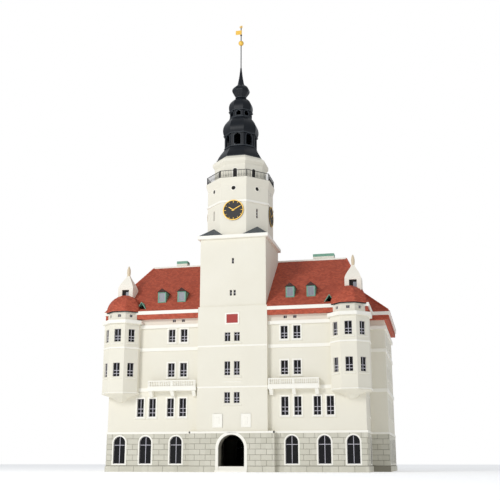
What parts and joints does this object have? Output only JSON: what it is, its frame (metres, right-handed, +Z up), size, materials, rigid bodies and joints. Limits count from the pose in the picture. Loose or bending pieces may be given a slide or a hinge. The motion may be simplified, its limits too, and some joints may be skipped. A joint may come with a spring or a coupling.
{
  "type": "town hall building with clock tower, 1:2 scale model",
  "caption": "Town hall with a tall clock tower, corner turrets, balconies, a hipped tile roof and a dark tiered spire with gilt finials; turning weather vane and clock hands.",
  "frame": {"origin": "on the ground in the plane of the front wall, under the middle of the tower", "axes": "+X along the front to the right, +Y from the front into the building, +Z up"},
  "size_m": [22.32, 14.7475, 36],
  "materials": {
    "plaster": "smooth lime render",
    "stone": "dressed stone blocks",
    "trim": "painted stone trim",
    "roof_tile": "clay tiles",
    "copper": "verdigris copper",
    "slate": "dark sheet metal",
    "iron": "black wrought iron",
    "gold": "gilt",
    "dial": "matt black dial with gilt rim",
    "red_panel": "red enamel",
    "glass": "dark window glass",
    "floor": "screed"
  },
  "bodies": {
    "building": {"arch_surrounds": "trim", "back_wall": "plaster", "balconies": "trim", "balustrades": "trim", "bell_roof_lower": "slate", "bell_roof_upper": "slate", "clock_faces": "dial", "corner_gables": "plaster", "doorstep": "stone", "dormer_roofs": "roof_tile", "dormers": "copper", "eaves_gutter": "trim", "eaves_skirt": "roof_tile", "fixed_clock_hands": "gold", "front_walls": "plaster", "gablets": "copper", "gallery_drum": "plaster", "gallery_floor": "plaster", "gallery_railing": "iron", "gate_arch": "stone", "gilt_ball": "gold", "gilt_star": "gold", "lantern_lower": "slate", "lantern_upper": "slate", "main_roof": "roof_tile", "middle_floors": "floor", "plinth": "stone", "rear_floors": "floor", "red_panel": "red_panel", "ridge_vents": "copper", "setback_walls": "plaster", "side_walls": "plaster", "spire_onion": "slate", "spire_skirt": "slate", "string_courses": "trim", "tower_back_wall": "plaster", "tower_corner_roofs": "slate", "tower_cornice": "trim", "tower_floors": "floor", "tower_front_wall": "plaster", "tower_glass": "glass", "tower_octagon": "plaster", "tower_panels": "trim", "tower_piers": "stone", "tower_side_walls": "plaster", "turret_corbels": "trim", "turret_cornices": "trim", "turret_domes": "roof_tile", "turret_walls": "plaster", "vane_rod": "iron", "window_glass": "glass", "window_surrounds": "trim", "wing_floors": "floor"},
    "minute_hand_body": {"minute_hand": "gold"},
    "hour_hand_body": {"hour_hand": "gold"},
    "vane_body": {"weather_vane": "gold"}
  },
  "joints": [
    {"name": "minute_hand_turn", "type": "hinge", "parent": "building", "child": "minute_hand_body", "pos_m": [0, -0.27, 19.15], "axis": [0, 1, 0], "continuous": true},
    {"name": "hour_hand_turn", "type": "hinge", "parent": "building", "child": "hour_hand_body", "pos_m": [0, -0.27, 19.15], "axis": [0, 1, 0], "continuous": true},
    {"name": "vane_turn", "type": "hinge", "parent": "building", "child": "vane_body", "pos_m": [0, 2.18, 35.3], "axis": [0, 0, 1], "continuous": true}
  ],
  "couplings": [
    {"joint": "hour_hand_turn", "follows": "minute_hand_turn", "ratio": 0.083333}
  ]
}
